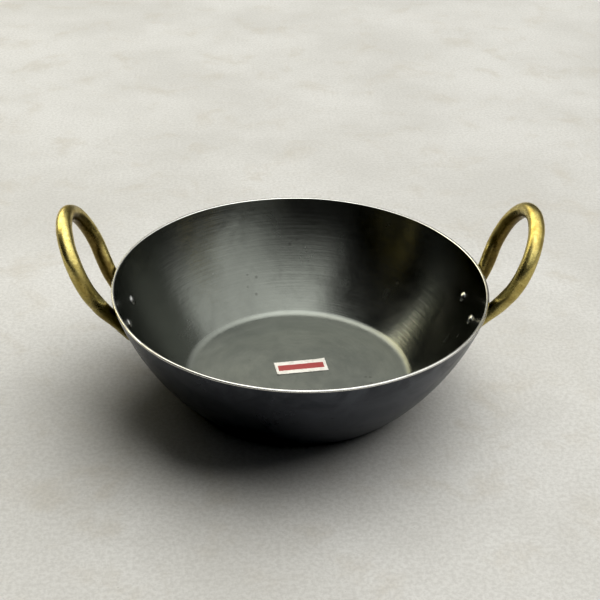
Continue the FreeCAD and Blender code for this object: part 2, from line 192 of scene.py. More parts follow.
def rings_to_faces(ring_count, around, first=0):
    """Four-sided faces between closed rings of vertices that follow each other."""
    faces = []
    for ring in range(ring_count - 1):
        for step in range(around):
            low, high = first + ring * around, first + (ring + 1) * around
            after = (step + 1) % around
            faces.append((low + step, low + after, high + after, high + step))
    return faces


def fan_to_faces(first, around, top):
    """Three-sided faces that close a ring of vertices with one more vertex."""
    return [(first + step, first + (step + 1) % around, top) for step in range(around)]


# Bowl

def arc(middle, radius, start, end, steps):
    """Section points along an arc, its first point left out."""
    turns = [between(start, end, step / steps) for step in range(1, steps + 1)]
    return [Vector((middle.x + radius * math.cos(turn), middle.y + radius * math.sin(turn)))
            for turn in turns]


def bowl_section():
    """The bowl's section from the middle of its inside, over the rim and back to the middle below."""
    outside = KNUCKLE_RADIUS + SHEET
    knuckle = Vector((BASE_RADIUS, outside))
    bend = math.atan2(outside - WALL_MIDDLE.y, BASE_RADIUS - WALL_MIDDLE.x)
    down, up = -math.pi / 2, math.pi / 2
    round_up = RIM_HEIGHT - RIM_ROUNDING

    def rounding(distance):
        """Middle of a rim rounding this far from the wall's middle, and its turn there."""
        out = math.sqrt(distance ** 2 - (round_up - WALL_MIDDLE.y) ** 2)
        return Vector((WALL_MIDDLE.x + out, round_up)), math.atan2(round_up - WALL_MIDDLE.y, out)

    inner, inner_turn = rounding(WALL_RADIUS - SHEET + RIM_ROUNDING)
    outer, outer_turn = rounding(WALL_RADIUS - RIM_ROUNDING)
    inside = [Vector((BASE_RADIUS * step / BASE_STEPS, SHEET)) for step in range(1, BASE_STEPS + 1)]
    inside += arc(knuckle, KNUCKLE_RADIUS, down, bend, KNUCKLE_STEPS)
    inside += arc(WALL_MIDDLE, WALL_RADIUS - SHEET, bend, inner_turn, WALL_STEPS)
    rim = arc(inner, RIM_ROUNDING, inner_turn + math.pi, up, RIM_EDGE_STEPS)
    for step in range(1, RIM_TOP_STEPS + 1):
        rim.append(Vector((between(inner.x, outer.x, step / RIM_TOP_STEPS), RIM_HEIGHT)))
    rim += arc(outer, RIM_ROUNDING, up, outer_turn, RIM_EDGE_STEPS)
    below = arc(WALL_MIDDLE, WALL_RADIUS, outer_turn, bend, WALL_STEPS)
    below += arc(knuckle, outside, bend, down, KNUCKLE_STEPS)
    for step in range(UNDERSIDE_STEPS - 1, 0, -1):
        below.append(Vector((BASE_RADIUS * step / UNDERSIDE_STEPS, 0)))
    return inside + rim, below


def round_noise(turn, spread, third):
    """Noise that closes on itself round the bowl, with more waves for a larger spread."""
    return noise.noise(Vector((spread * math.cos(turn), spread * math.sin(turn), third)))


def sheet_wave(turn, section_point):
    """How far the pressed sheet strays outwards from a true round, none where the handles sit."""
    free = smooth(0.25, 0.5, abs(math.sin(turn)))
    high = smooth(BASE_RADIUS, RIM_RADIUS, section_point.x)
    return SHEET_WAVE * free * high * round_noise(turn, 2.2, section_point.y / (45 * MM))


def base_wave(x, y):
    """How far the flat of the base strays from level, none at the knuckle."""
    inward = 1 - smooth(0.6 * BASE_RADIUS, BASE_RADIUS, math.hypot(x, y))
    return BASE_WAVE * inward * noise.noise(Vector((x / (40 * MM), y / (40 * MM), 3.7)))


def rim_wave(turn, section_point):
    """How far the ground edge strays from level."""
    near_edge = smooth(RIM_HEIGHT - RIM_WAVE_DEPTH, RIM_HEIGHT, section_point.y)
    long_wave = RIM_LONG_WAVE * round_noise(turn, 3, 9.1)
    short_wave = RIM_SHORT_WAVE * round_noise(turn, 26, 5.3)
    return near_edge * (long_wave + short_wave)


def add_bowl(inside_finish, outside_finish, rim_finish):
    """The bowl, one closed mesh from the middle of its inside to the middle of its underside."""
    inside, outside = bowl_section()
    section = inside + outside
    vertices = [Vector((0, 0, SHEET + base_wave(0, 0)))]
    for point in section:
        for step in range(BOWL_AROUND):
            turn = 2 * math.pi * step / BOWL_AROUND
            out = point.x + sheet_wave(turn, point)
            x, y = out * math.cos(turn), out * math.sin(turn)
            up = point.y + rim_wave(turn, point)
            if point.x < BASE_RADIUS:
                up += base_wave(x, y)
            vertices.append(Vector((x, y, up)))
    vertices.append(Vector((0, 0, base_wave(0, 0))))

    rim_end = len(inside) - 1
    rim_start = rim_end - RIM_POINTS + BLACK_EDGE_STEPS
    last_row = len(section) - 1
    finish_of_row = [0] * rim_start + [2] * (rim_end - rim_start) + [1] * (last_row - rim_end)
    finish_of_face = [finish for finish in finish_of_row for _ in range(BOWL_AROUND)]
    finish_of_face += [0] * BOWL_AROUND + [1] * BOWL_AROUND
    faces = rings_to_faces(len(section), BOWL_AROUND, first=1)
    faces += fan_to_faces(1, BOWL_AROUND, 0)
    faces += fan_to_faces(1 + last_row * BOWL_AROUND, BOWL_AROUND, len(vertices) - 1)
    bowl = piece_from("bowl_pressed_sheet", vertices, faces,
                      [inside_finish, outside_finish, rim_finish], finish_of_face)
    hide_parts("bowl")


# Handles

def wall_normal(turn, lean):
    """Outward from the outside of the wall, which leans over the floor."""
    return Vector((math.cos(lean) * math.cos(turn), math.cos(lean) * math.sin(turn), -math.sin(lean)))


def rivet_point(turn):
    """Where a rivet's middle line leaves the outside of the wall."""
    return Vector((RIVET_OUT * math.cos(turn), RIVET_OUT * math.sin(turn), RIVET_UP))


def hermite(start, start_pull, end, end_pull, share):
    """A point on a smooth line that leaves start and reaches end along the two pulls."""
    square, cube = share ** 2, share ** 3
    return (start * (2 * cube - 3 * square + 1) + start_pull * (cube - 2 * square + share)
            + end * (3 * square - 2 * cube) + end_pull * (cube - square))


def handle_stations():
    """Sections of half a right handle, from its crown to the tip of its rear foot.

    Each is the bar's middle, its two section axes and its half sizes along them.
    """
    across = Vector((0, 1, 0))
    outward = Vector((math.cos(HANDLE_TILT), 0, -math.sin(HANDLE_TILT)))
    normal = wall_normal(RIVET_TURN, RIVET_LEAN)
    round_bowl = Vector((-math.sin(RIVET_TURN), math.cos(RIVET_TURN), 0))
    up_wall = normal.cross(round_bowl)
    seat = rivet_point(RIVET_TURN)
    foot = seat + normal * (FOOT_THICKNESS - FOOT_SINK) / 2
    foot_across = (foot - HANDLE_BASE).dot(across)
    foot_below = LOOP_RISE - (foot - HANDLE_BASE).dot(HANDLE_UP)
    foot_reach = math.hypot(foot_across, foot_below)
    slant = math.asin(LOOP_RADIUS / foot_reach) - math.atan(foot_across / foot_below)

    stations = []
    loop_end = math.pi / 2 + slant
    for step in range(LOOP_STEPS + 1):
        turn = loop_end * step / LOOP_STEPS
        side = across * math.sin(turn) + HANDLE_UP * math.cos(turn)
        stations.append((LOOP_MIDDLE + side * LOOP_RADIUS, side, outward, BAR_RADIUS, BAR_RADIUS))

    leg_side = across * math.cos(slant) - HANDLE_UP * math.sin(slant)
    leg_aim = -across * math.sin(slant) - HANDLE_UP * math.cos(slant)
    leg_start = stations[-1][0]
    for step in range(1, LEG_STEPS + 1):
        middle = leg_start + leg_aim * LEG_RUN * step / LEG_STEPS
        stations.append((middle, leg_side, outward, BAR_RADIUS, BAR_RADIUS))

    leg_end = stations[-1][0]
    foot_side = round_bowl * math.cos(slant) - up_wall * math.sin(slant)
    foot_aim = -round_bowl * math.sin(slant) - up_wall * math.cos(slant)
    pull = (foot - leg_end).length
    for step in range(1, FOOT_STEPS + 1):
        share = step / FOOT_STEPS
        ease = smooth(0, 1, share)
        middle = hermite(leg_end, leg_aim * pull, foot, foot_aim * pull, share)
        wide = leg_side.lerp(foot_side, ease).normalized()
        deep = outward.lerp(normal, ease).normalized()
        half_width = between(BAR_RADIUS, FOOT_WIDTH / 2, ease)
        half_depth = between(BAR_RADIUS, (FOOT_THICKNESS + FOOT_SINK) / 2, ease)
        stations.append((middle, wide, deep, half_width, half_depth))

    tip = seat + foot_aim * TIP_REACH + normal * (TIP_THICKNESS - FOOT_SINK) / 2
    for step in range(1, TIP_STEPS + 1):
        share = step / TIP_STEPS
        ease = smooth(-TIP_EASE, 1 + TIP_EASE, share)
        into_rounding = max(0.0, TIP_ROUNDING - (1 - share) * TIP_REACH)
        shrink = TIP_ROUNDING - math.sqrt(TIP_ROUNDING ** 2 - into_rounding ** 2)
        half_width = between(FOOT_WIDTH, TIP_WIDTH, ease) / 2 - shrink
        half_depth = (between(FOOT_THICKNESS, TIP_THICKNESS, ease) + FOOT_SINK) / 2 - shrink
        stations.append((foot.lerp(tip, share), foot_side, normal, half_width, half_depth))
    return stations


def mirrored(vector):
    """The vector as it is on the front half of the handle."""
    return Vector((vector.x, -vector.y, vector.z))


def seated(point):
    """The point, moved out to the wall's face if it lies inside it."""
    out = math.hypot(point.x, point.y)
    from_middle = Vector((out, point.z)) - WALL_MIDDLE
    if point.z > RIM_HEIGHT or from_middle.length >= WALL_RADIUS + CLEARANCE:
        return point
    on_face = WALL_MIDDLE + from_middle.normalized() * (WALL_RADIUS + CLEARANCE)
    return Vector((point.x * on_face.x / out, point.y * on_face.x / out, on_face.y))


def flattened(point):
    """The point, lowered to the flat that takes a rivet's hammered end if it stands above it."""
    for turn in (-RIVET_TURN, RIVET_TURN):
        normal = wall_normal(turn, RIVET_LEAN)
        offset = point - rivet_point(turn)
        above = offset.dot(normal)
        beside = (offset - normal * above).length
        if above > TAIL_SEAT and beside < TAIL_RADIUS + 2 * CLEARANCE:
            return point - normal * (above - TAIL_SEAT)
    return point


def add_handle(side, half_turn, finish):
    """One cast handle, swept from its front foot over the crown to its rear foot."""
    rear = handle_stations()
    front = [(mirrored(middle), mirrored(wide), mirrored(deep), half_width, half_depth)
             for middle, wide, deep, half_width, half_depth in rear]
    stations = front[:0:-1] + rear
    own_pattern = Vector((0.3, 0.1, 0.2)) * (1 + half_turn)
    to_side = Matrix.Rotation(half_turn, 3, "Z")
    vertices = []
    for middle, wide, deep, half_width, half_depth in stations:
        for step in range(HANDLE_AROUND):
            turn = 2 * math.pi * step / HANDLE_AROUND
            spread = wide * half_width * math.cos(turn) + deep * half_depth * math.sin(turn)
            spot = middle + spread + own_pattern
            cast = CAST_BROAD * noise.noise(spot / CAST_BROAD_LENGTH)
            cast += CAST_FINE * noise.noise(spot / CAST_FINE_LENGTH)
            point = middle + spread + spread.normalized() * cast
            vertices.append(to_side @ flattened(seated(point)))
    faces = rings_to_faces(len(stations), HANDLE_AROUND)
    for first in (0, (len(stations) - 1) * HANDLE_AROUND):
        ring = vertices[first:first + HANDLE_AROUND]
        faces += fan_to_faces(first, HANDLE_AROUND, len(vertices))
        vertices.append(sum(ring, Vector()) / HANDLE_AROUND)
    handle = piece_from(f"handle_{side}_casting", vertices, faces, [finish])
    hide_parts(f"handle_{side}")


# Rivets

def dome(rim_radius, height, steps):
    """Offsets along the axis and radii over a low dome, from its edge to just before its top."""
    radius = (rim_radius ** 2 + height ** 2) / (2 * height)
    low = math.asin(rim_radius / radius)
    turns = [low * (1 - step / steps) for step in range(steps)]
    return [(radius * math.cos(turn) - radius + height, radius * math.sin(turn)) for turn in turns]


def add_rivet(side, row, turn, finish):
    """One rivet along the wall's normal: hammered dome inside the bowl, flatter dome on the foot."""
    under_head = -(SHEET + CLEARANCE + HEAD_RADIUS ** 2 / (2 * RIM_RADIUS))
    under_tail = TAIL_SEAT + CLEARANCE
    head = [(under_head - along, radius) for along, radius in dome(HEAD_RADIUS, HEAD_HEIGHT, HEAD_STEPS)]
    tail = [(under_tail + along, radius) for along, radius in dome(TAIL_RADIUS, TAIL_HEIGHT, TAIL_STEPS)]
    section = head[::-1] + [(under_head, SHANK_RADIUS), (under_tail, SHANK_RADIUS)] + tail
    normal = wall_normal(turn, RIVET_LEAN)
    level = Vector((-math.sin(turn), math.cos(turn), 0))
    axes = Matrix((normal, level, normal.cross(level))).transposed()
    own_pattern = Vector((7 * turn, 1.3, 0.4))
    vertices = []
    for along, radius in section:
        for step in range(RIVET_AROUND):
            angle = 2 * math.pi * step / RIVET_AROUND
            spot = Vector((along, radius * math.cos(angle), radius * math.sin(angle)))
            hammered = HAMMERING * noise.noise(spot / HAMMERING_LENGTH + own_pattern)
            if radius > SHANK_RADIUS or abs(along) > under_tail:
                spot.x += math.copysign(hammered, along)
            vertices.append(rivet_point(turn) + axes @ spot)
    faces = rings_to_faces(len(section), RIVET_AROUND)
    last_ring = (len(section) - 1) * RIVET_AROUND
    for first, along in ((0, under_head - HEAD_HEIGHT), (last_ring, under_tail + TAIL_HEIGHT)):
        faces += fan_to_faces(first, RIVET_AROUND, len(vertices))
        vertices.append(rivet_point(turn) + normal * along)
    rivet = piece_from(f"rivet_{side}_{row}_hammered", vertices, faces, [finish])
    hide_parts(f"rivet_{side}_{row}")


# Label

def label_point(u, v):
    """A point of the label's underside, from its place along and across the paper, -0.5 to 0.5 each."""
    near_edge = (2 * max(abs(u), abs(v))) ** 8
    x = u * LABEL_WIDTH + LABEL_RAGGED_ENDS * near_edge * noise.noise(Vector((0, v * 14, 1.7)))
    y = v * LABEL_DEPTH + LABEL_RAGGED_SIDES * near_edge * noise.noise(Vector((u * 30, 0, 4.1)))
    place = LABEL_PLACE + Matrix.Rotation(LABEL_TURN, 2) @ Vector((x, y))
    uneven = noise.noise(Vector((x / LABEL_CREASE_LENGTH, y / LABEL_CREASE_LENGTH, 2.2)))
    up = SHEET + base_wave(place.x, place.y) + LABEL_GAP + LABEL_CREASE * (1 + uneven)
    up += LABEL_CORNER_LIFT * smooth(0.78, 1.0, u + v)
    up += LABEL_FAR_CORNER_LIFT * smooth(0.85, 1.0, -u - v)
    return Vector((place.x, place.y, up))


def add_label(finish):
    """A thin blank paper label, stuck to the inside of the base and a little creased."""
    below = [label_point(column / LABEL_COLUMNS - 0.5, row / LABEL_ROWS - 0.5)
             for row in range(LABEL_ROWS + 1) for column in range(LABEL_COLUMNS + 1)]
    above = [point + Vector((0, 0, LABEL_PAPER)) for point in below]
    across, to_above = LABEL_COLUMNS + 1, len(below)
    faces = []
    for row in range(LABEL_ROWS):
        for column in range(LABEL_COLUMNS):
            corner = row * across + column
            face = (corner, corner + 1, corner + 1 + across, corner + across)
            faces.append(face)
            faces.append(tuple(index + to_above for index in reversed(face)))
    border = list(range(LABEL_COLUMNS))
    border += [row * across + LABEL_COLUMNS for row in range(LABEL_ROWS)]
    border += [LABEL_ROWS * across + column for column in range(LABEL_COLUMNS, 0, -1)]
    border += [row * across for row in range(LABEL_ROWS, 0, -1)]
    for here, after in zip(border, border[1:] + border[:1]):
        faces.append((here, after, after + to_above, here + to_above))
    piece_from("label_blank_paper", below + above, faces, [finish])


# Finishes

def node(tree, kind, values=None, **settings):
    """A shader node with values on its inputs, by name or number, and settings on the node itself."""
    made = tree.nodes.new(kind)
    for name, value in settings.items():
        setattr(made, name, value)
    for name, value in (values or {}).items():
        if isinstance(value, bpy.types.NodeSocket):
            tree.links.new(value, made.inputs[name])
        else:
            made.inputs[name].default_value = value
    return made


def maths(tree, operation, *values):
    """One sum on some numbers."""
    return node(tree, "ShaderNodeMath", dict(enumerate(values)), operation=operation).outputs[0]


def total(tree, first, *others):
    """All the numbers added up."""
    for other in others:
        first = maths(tree, "ADD", first, other)
    return first


def product(tree, first, *others):
    """All the numbers multiplied."""
    for other in others:
        first = maths(tree, "MULTIPLY", first, other)
    return first


def vector_maths(tree, operation, *vectors):
    """One sum on some vectors, with a vector and a number as its outputs."""
    return node(tree, "ShaderNodeVectorMath", dict(enumerate(vectors)), operation=operation).outputs


def split(tree, vector):
    """A vector's x, y and z."""
    return node(tree, "ShaderNodeSeparateXYZ", {0: vector}).outputs


def joined(tree, x, y, z):
    """A vector from its x, y and z."""
    return node(tree, "ShaderNodeCombineXYZ", {0: x, 1: y, 2: z}).outputs[0]


def fade(tree, value, low, high, to_low=0.0, to_high=1.0):
    """Maps a value from low..high to to_low..to_high, with an even ease."""
    mapped = node(tree, "ShaderNodeMapRange", {"Value": value, "From Min": low, "From Max": high,
                                               "To Min": to_low, "To Max": to_high},
                  interpolation_type="SMOOTHSTEP")
    return mapped.outputs["Result"]


def blend(tree, share, first, second):
    """A share of the second colour mixed into the first."""
    mix = node(tree, "ShaderNodeMix", data_type="RGBA", blend_type="MIX", clamp_factor=True)
    for socket, value in ((mix.inputs[0], share), (mix.inputs[6], first), (mix.inputs[7], second)):
        if isinstance(value, bpy.types.NodeSocket):
            tree.links.new(value, socket)
        elif isinstance(value, tuple):
            socket.default_value = (*value, 1.0)
        else:
            socket.default_value = value
    return mix.outputs[2]


def noise_on(tree, place, scale, detail=4.0, roughness=0.55, distortion=0.0):
    """Uneven values from 0 to 1, finer for a larger scale."""
    made = node(tree, "ShaderNodeTexNoise", {"Vector": place, "Scale": scale, "Detail": detail,
                                             "Roughness": roughness, "Distortion": distortion})
    return made.outputs["Fac"]


def effect(name, inputs, outputs):
    """An empty node group with named number inputs and outputs, and its own inner nodes for them."""
    group = bpy.data.node_groups.new(name, "ShaderNodeTree")
    for label, value in inputs.items():
        socket = group.interface.new_socket(label, in_out="INPUT", socket_type="NodeSocketFloat")
        socket.default_value = value
    for label in outputs:
        group.interface.new_socket(label, in_out="OUTPUT", socket_type="NodeSocketFloat")
    return group, group.nodes.new("NodeGroupInput"), group.nodes.new("NodeGroupOutput")


def use(tree, group, **values):
    """Places an effect in a material, with this material's own values."""
    placed = tree.nodes.new("ShaderNodeGroup")
    placed.node_tree = group
    for label, value in values.items():
        placed.inputs[label].default_value = value
    return placed.outputs


def place_on_part(tree):
    """The place on the piece, in the part's own frame."""
    return node(tree, "ShaderNodeTexCoord").outputs["Object"]


def make_smudges():
    """Broad uneven patches from handling, oil and heat."""
    group, given, result = effect("smudges", {"Size": 20.0, "Low": 0.35, "High": 0.7}, ["Patch"])
    broad = noise_on(group, place_on_part(group), given.outputs["Size"],
                     detail=5.0, roughness=0.6, distortion=0.8)
    patch = fade(group, broad, given.outputs["Low"], given.outputs["High"])
    group.links.new(patch, result.inputs["Patch"])
    return group


def make_pits():
    """Small scattered pits, as a mask and as a height for the surface."""
    group, given, result = effect("pits", {"Density": 400.0, "Spread": 60.0, "Share": 0.5},
                                  ["Pit", "Height"])
    place = place_on_part(group)
    cells = node(group, "ShaderNodeTexVoronoi", {"Vector": place, "Scale": given.outputs["Density"],
                                                 "Randomness": 1.0})
    dot = fade(group, cells.outputs["Distance"], 0.08, 0.32, 1.0, 0.0)
    where = noise_on(group, place, given.outputs["Spread"], detail=3.0)
    kept = maths(group, "GREATER_THAN", where, maths(group, "SUBTRACT", 1.0, given.outputs["Share"]))
    chance = node(group, "ShaderNodeSeparateColor", {"Color": cells.outputs["Color"]}).outputs[0]
    chosen = maths(group, "GREATER_THAN", chance, 0.45)
    pit = product(group, dot, kept, chosen)
    group.links.new(pit, result.inputs["Pit"])
    group.links.new(product(group, pit, -1.0), result.inputs["Height"])
    return group


def make_pressing_rings():
    """Faint lines that run round the bowl, left by pressing and buffing."""
    group, given, result = effect("pressing_rings", {"Fineness": 900.0}, ["Line"])
    x, y, z = split(group, place_on_part(group))
    out = maths(group, "SQRT", total(group, product(group, x, x), product(group, y, y)))
    not_zero = maths(group, "MAXIMUM", out, 0.001)
    waves_round = 1.6
    round_x = product(group, maths(group, "DIVIDE", x, not_zero), waves_round)
    round_y = product(group, maths(group, "DIVIDE", y, not_zero), waves_round)
    along = product(group, total(group, out, z), given.outputs["Fineness"])
    line = noise_on(group, joined(group, round_x, round_y, along), 1.0, detail=3.0, roughness=0.7)
    group.links.new(line, result.inputs["Line"])
    return group


def make_ground_edge():
    """Where the rim is ground to bare metal: an uneven strip down to a depth in millimetres."""
    group, given, result = effect("ground_edge", {"Depth": 1.0}, ["Bare"])
    place = place_on_part(group)
    height = split(group, place)[2]
    below_rim = product(group, maths(group, "SUBTRACT", RIM_HEIGHT, height), 1 / MM)
    ragged = maths(group, "SUBTRACT", noise_on(group, place, 90.0, detail=6.0), 0.5)
    past_edge = maths(group, "SUBTRACT", total(group, below_rim, ragged), given.outputs["Depth"])
    group.links.new(fade(group, past_edge, -0.15, 0.15, 1.0, 0.0), result.inputs["Bare"])
    return group


def new_finish(name):
    """A material with its own shader, and nothing else in it yet."""
    finish = bpy.data.materials.new(name)
    finish.use_nodes = True
    tree = finish.node_tree
    return finish, tree, tree.nodes["Principled BSDF"]


def feed(tree, shader, **sockets):
    """Links sources to the shader's inputs, an underscore standing for a space in a name."""
    for label, source in sockets.items():
        tree.links.new(source, shader.inputs[label.replace("_", " ")])


def bumped(tree, height, strength, distance):
    """Fine relief from a height."""
    bump = node(tree, "ShaderNodeBump", {"Height": height, "Strength": strength, "Distance": distance})
    return bump.outputs["Normal"]


def make_iron(name, dark, light, rough_low, rough_high, bare_depth, oil_height, relief_strength):
    """Blackened sheet iron, smudged, faintly ringed and darker in clouded patches towards the rim.

    It is bare down to a depth below the rim, and oiled up to a height above the floor.
    """
    finish, tree, shader = new_finish(name)
    place = place_on_part(tree)
    height = split(tree, place)[2]
    patch = use(tree, SMUDGES, Size=11.0, Low=0.3, High=0.75)["Patch"]
    cloud = use(tree, SMUDGES, Size=42.0, Low=0.35, High=0.75)["Patch"]
    line = use(tree, PRESSING_RINGS, Fineness=320.0)["Line"]
    broad_ring = fade(tree, use(tree, PRESSING_RINGS, Fineness=85.0)["Line"], 0.3, 0.7)
    pits = use(tree, PITS, Density=170.0, Spread=26.0, Share=0.36)
    bare = use(tree, GROUND_EDGE, Depth=bare_depth)["Bare"]
    oiled = fade(tree, height, oil_height, oil_height + OIL_EDGE, 1.0, 0.0)
    near_rim = fade(tree, height, RIM_HEIGHT - 38 * MM, RIM_HEIGHT - 4 * MM, 0.15, 0.75)
    grain = noise_on(tree, place, 2400.0, detail=2.0)
    mottle = noise_on(tree, place, 120.0, detail=6.0, roughness=0.65)

    # Half as dark as the iron, laid in clouded patches that grow stronger towards the rim
    rim_darkening = tuple(0.5 * part for part in dark)
    oil_dark, oil_light = (0.210, 0.218, 0.203), (0.268, 0.274, 0.250)
    pit_dark, bare_metal = (0.02, 0.018, 0.016), (0.66, 0.64, 0.60)
    tone = total(tree, product(tree, patch, 0.7), product(tree, line, 0.3))
    colour = blend(tree, tone, dark, light)
    # Darker in clouded patches towards the rim, more so higher up the wall
    colour = blend(tree, product(tree, cloud, near_rim), colour, rim_darkening)
    oil = blend(tree, product(tree, total(tree, broad_ring, patch), 0.5), oil_dark, oil_light)
    colour = blend(tree, oiled, colour, oil)
    colour = blend(tree, product(tree, pits["Pit"], 0.3), colour, pit_dark)
    colour = blend(tree, bare, colour, bare_metal)

    clouded = product(tree, maths(tree, "SUBTRACT", cloud, 0.5), 0.08)
    rough = total(tree, fade(tree, patch, 0.0, 1.0, rough_low, rough_high), clouded,
                  product(tree, oiled, 0.15))
    rough = maths(tree, "MAXIMUM", rough, product(tree, bare, 0.5))
    relief = total(tree, product(tree, line, 5.0), product(tree, grain, 0.2),
                   product(tree, pits["Height"], 0.6), product(tree, mottle, 6.5))
    feed(tree, shader, Base_Color=colour, Roughness=rough,
         Metallic=fade(tree, bare, 0.0, 1.0, 1.0, 0.6),
         Normal=bumped(tree, relief, relief_strength, 0.05 * MM))
    return finish


def make_ground_rim():
    """The rim's top, ground to bare iron with an uneven, finely scratched sheen."""
    finish, tree, shader = new_finish("ground_iron_rim")
    bright, dulled, scratched = (0.62, 0.61, 0.585), (0.38, 0.37, 0.355), (0.34, 0.33, 0.31)
    dull = use(tree, SMUDGES, Size=60.0, Low=0.4, High=0.75)["Patch"]
    scratch = noise_on(tree, place_on_part(tree), 700.0, detail=5.0)
    colour = blend(tree, product(tree, dull, 0.7), bright, dulled)
    colour = blend(tree, fade(tree, scratch, 0.58, 0.72, 0.0, 0.6), colour, scratched)
    feed(tree, shader, Base_Color=colour, Roughness=fade(tree, dull, 0.0, 1.0, 0.26, 0.38),
         Normal=bumped(tree, scratch, 0.25, 0.05 * MM))
    shader.inputs["Metallic"].default_value = 1.0
    return finish


def inner_side(tree):
    """How far the brass faces the middle of its own loop, from -1 to 1.

    The left loop is folded onto the right one.
    """
    given = node(tree, "ShaderNodeTexCoord").outputs
    x, y, z = split(tree, given["Object"])
    facing_x, facing_y, facing_z = split(tree, given["Normal"])
    place = joined(tree, maths(tree, "ABSOLUTE", x), y, z)
    facing = joined(tree, product(tree, facing_x, maths(tree, "SIGN", x)), facing_y, facing_z)
    inward = vector_maths(tree, "SUBTRACT", LOOP_MIDDLE, place)["Vector"]
    inward = vector_maths(tree, "NORMALIZE", inward)["Vector"]
    return vector_maths(tree, "DOT_PRODUCT", facing, inward)["Value"]


def make_brass():
    """Cast brass that has dulled: pale where it is handled, brown in its pits, and dark inside its loop
    from tarnish and painted shade.
    """
    finish, tree, shader = new_finish("aged_brass")
    # The near-black brown is part tarnish and part painted shade for the loop's inner faces
    pale, dulled, tarnished_and_shaded = (0.62, 0.53, 0.23), (0.40, 0.31, 0.10), (0.10, 0.066, 0.022)
    worn_brown, pit_brown = (0.30, 0.24, 0.085), (0.10, 0.065, 0.02)
    patina = use(tree, SMUDGES, Size=45.0, Low=0.38, High=0.72)["Patch"]
    worn = use(tree, SMUDGES, Size=420.0, Low=0.38, High=0.66)["Patch"]
    pits = use(tree, PITS, Density=560.0, Spread=90.0, Share=0.5)
    grain = noise_on(tree, place_on_part(tree), 1300.0, detail=3.0)

    uneven = product(tree, maths(tree, "SUBTRACT", patina, 0.5), 0.5)
    # The faces towards the loop's middle are darkened, part tarnish and part painted shade
    tarnish_and_shade = fade(tree, total(tree, inner_side(tree), uneven), -0.05, 0.75, 0.0, 0.88)
    colour = blend(tree, patina, pale, dulled)
    colour = blend(tree, tarnish_and_shade, colour, tarnished_and_shaded)
    colour = blend(tree, product(tree, worn, 0.4), colour, worn_brown)
    colour = blend(tree, product(tree, pits["Pit"], 0.7), colour, pit_brown)
    rough = total(tree, fade(tree, patina, 0.0, 1.0, 0.26, 0.35), product(tree, worn, 0.06))
    relief = total(tree, product(tree, worn, -0.5), product(tree, grain, 0.5), pits["Height"])
    feed(tree, shader, Base_Color=colour, Roughness=rough, Normal=bumped(tree, relief, 0.5, 0.12 * MM))
    shader.inputs["Metallic"].default_value = 1.0
    return finish


def make_rivet_steel():
    """Dark hammered steel with bright scuffs."""
    finish, tree, shader = new_finish("hammered_rivet_steel")
    dark, scuffed, pit_dark = (0.19, 0.19, 0.19), (0.52, 0.515, 0.50), (0.06, 0.055, 0.05)
    scuffs = use(tree, SMUDGES, Size=320.0, Low=0.4, High=0.66)["Patch"]
    pits = use(tree, PITS, Density=900.0, Spread=200.0, Share=0.5)
    colour = blend(tree, scuffs, dark, scuffed)
    colour = blend(tree, product(tree, pits["Pit"], 0.6), colour, pit_dark)
    relief = total(tree, scuffs, pits["Height"])
    feed(tree, shader, Base_Color=colour, Roughness=fade(tree, scuffs, 0.0, 1.0, 0.24, 0.15),
         Normal=bumped(tree, relief, 0.4, 0.08 * MM))
    shader.inputs["Metallic"].default_value = 1.0
    return finish


def make_label_paper():
    """Off-white coated paper with one plain red band, a little grubby."""
    finish, tree, shader = new_finish("blank_label_paper")
    clean_paper, grubby_paper = (0.80, 0.78, 0.73), (0.50, 0.48, 0.43)
    red, grubby_red = (0.30, 0.008, 0.010), (0.38, 0.09, 0.08)
    place = place_on_part(tree)
    from_middle = vector_maths(tree, "SUBTRACT", place, (*LABEL_PLACE, 0))["Vector"]
    on_label = node(tree, "ShaderNodeVectorRotate", {"Vector": from_middle, "Angle": -LABEL_TURN},
                    rotation_type="Z_AXIS").outputs[0]
    x, y, _ = split(tree, on_label)
    ragged = product(tree, maths(tree, "SUBTRACT", noise_on(tree, place, 900.0), 0.5), 0.5 * MM)
    along = total(tree, maths(tree, "ABSOLUTE", x), ragged)
    across = total(tree, maths(tree, "ABSOLUTE", y), ragged)
    band = product(tree, fade(tree, across, BAND_HALF_DEPTH, BAND_HALF_DEPTH + BAND_EDGE, 1.0, 0.0),
                   fade(tree, along, BAND_HALF_WIDTH, BAND_HALF_WIDTH + BAND_EDGE, 1.0, 0.0))
    grime = use(tree, SMUDGES, Size=180.0, Low=0.4, High=0.75)["Patch"]
    paper = blend(tree, product(tree, grime, 0.5), clean_paper, grubby_paper)
    ink = blend(tree, product(tree, grime, 0.35), red, grubby_red)
    colour = blend(tree, product(tree, band, 0.92), paper, ink)
    fibres = noise_on(tree, place, 1800.0, detail=5.0)
    feed(tree, shader, Base_Color=colour, Roughness=fade(tree, grime, 0.0, 1.0, 0.5, 0.68),
         Normal=bumped(tree, fibres, 0.25, 0.05 * MM))
    return finish


SMUDGES = make_smudges()
PITS = make_pits()
PRESSING_RINGS = make_pressing_rings()
GROUND_EDGE = make_ground_edge()

iron_inside = make_iron("blackened_iron_inside", dark=(0.190, 0.196, 0.181), light=(0.235, 0.243, 0.225),
                        rough_low=0.215, rough_high=0.26, bare_depth=BARE_NOWHERE,
                        oil_height=OILED_INSIDE, relief_strength=0.36)
iron_outside = make_iron("blackened_iron_outside", dark=(0.094, 0.101, 0.116), light=(0.136, 0.145, 0.165),
                         rough_low=0.30, rough_high=0.37, bare_depth=BARE_OUTSIDE,
                         oil_height=OILED_NOWHERE, relief_strength=0.12)
ground_rim = make_ground_rim()
brass = make_brass()
rivet_steel = make_rivet_steel()
label_paper = make_label_paper()

add_bowl(iron_inside, iron_outside, ground_rim)
for side, half_turn, to_rear in (("right", 0.0, RIVET_TURN), ("left", math.pi, -RIVET_TURN)):
    add_handle(side, half_turn, brass)
    add_rivet(side, "front", half_turn - to_rear, rivet_steel)
    add_rivet(side, "rear", half_turn + to_rear, rivet_steel)
add_label(label_paper)


# Floor, light and camera

